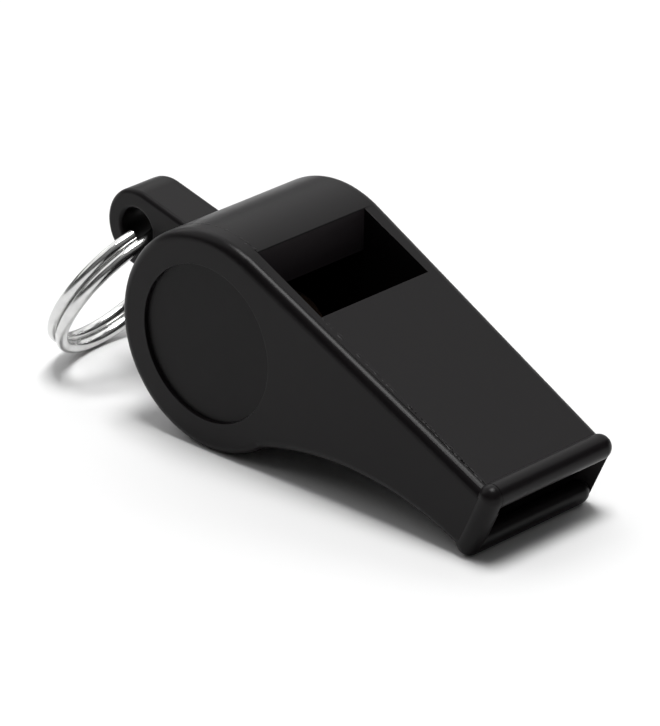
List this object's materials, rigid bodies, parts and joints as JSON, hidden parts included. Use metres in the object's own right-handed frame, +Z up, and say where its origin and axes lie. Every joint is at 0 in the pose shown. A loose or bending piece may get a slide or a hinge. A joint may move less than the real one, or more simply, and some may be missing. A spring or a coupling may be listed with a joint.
{
  "type": "sports whistle",
  "caption": "Moulded plastic pea whistle: round barrel, sloped beak with sound window and beaded lips, lanyard lug with a steel split ring.",
  "frame": {"origin": "centre of the part's box in X and Y, on the ground that barrel and lower lip stand on", "axes": "+X along the whistle to the mouth, +Z up; the side cover is on the -Y side"},
  "size_m": [0.0662, 0.021, 0.024],
  "materials": {
    "body_plastic": "semi-matte charcoal moulded plastic",
    "cover_plastic": "semi-matte charcoal moulded plastic",
    "cork": "dark cork",
    "ring_steel": "bright nickel-plated spring steel"
  },
  "bodies": {
    "whistle": {"body_moulding": "body_plastic", "side_cover": "cover_plastic"},
    "pea": {"pea": "cork"},
    "ring": {"split_ring": "ring_steel"}
  },
  "joints": [
    {"name": "ring_swing", "type": "hinge", "parent": "whistle", "child": "ring", "pos_m": [-0.02305, 0, 0.0167], "axis": [0, 1, 0], "range_deg": [-53, 206]},
    {"name": "pea_orbit", "type": "hinge", "parent": "whistle", "child": "pea", "pos_m": [-0.00545, 0, 0.012], "axis": [0, 1, 0], "continuous": true}
  ]
}
